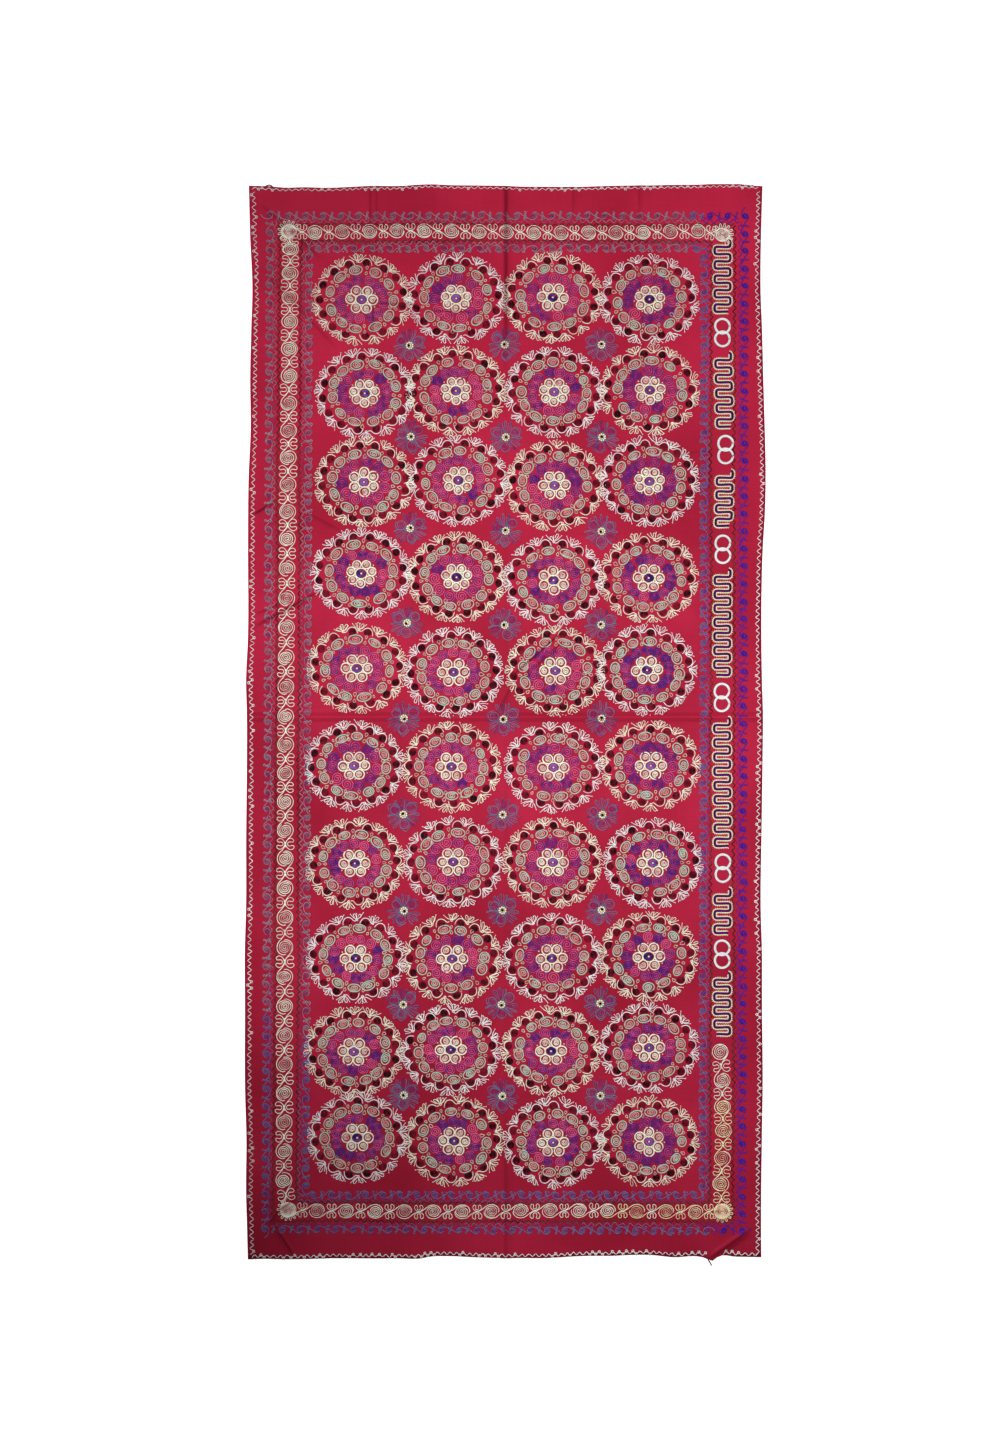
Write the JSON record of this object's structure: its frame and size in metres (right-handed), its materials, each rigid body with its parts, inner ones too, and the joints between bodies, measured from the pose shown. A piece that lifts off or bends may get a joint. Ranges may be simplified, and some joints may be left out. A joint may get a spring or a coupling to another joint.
{
  "type": "suzani embroidered textile",
  "caption": "Long crimson cotton sateen hanging embroidered all over in chain stitch, laid out face up with the ridges of its old folds.",
  "frame": {"origin": "middle of the cloth's bounding box, on the plane that its underside rests on", "axes": "+Y up the length of the cloth as it is shown, +X to the right across the loom width, +Z out of its embroidered face"},
  "size_m": [1.5258, 3.1538, 0.0127],
  "materials": {
    "sateen": "soft sheen, fine twill weave"
  },
  "bodies": {
    "root": {"cloth": "sateen"}
  },
  "joints": []
}
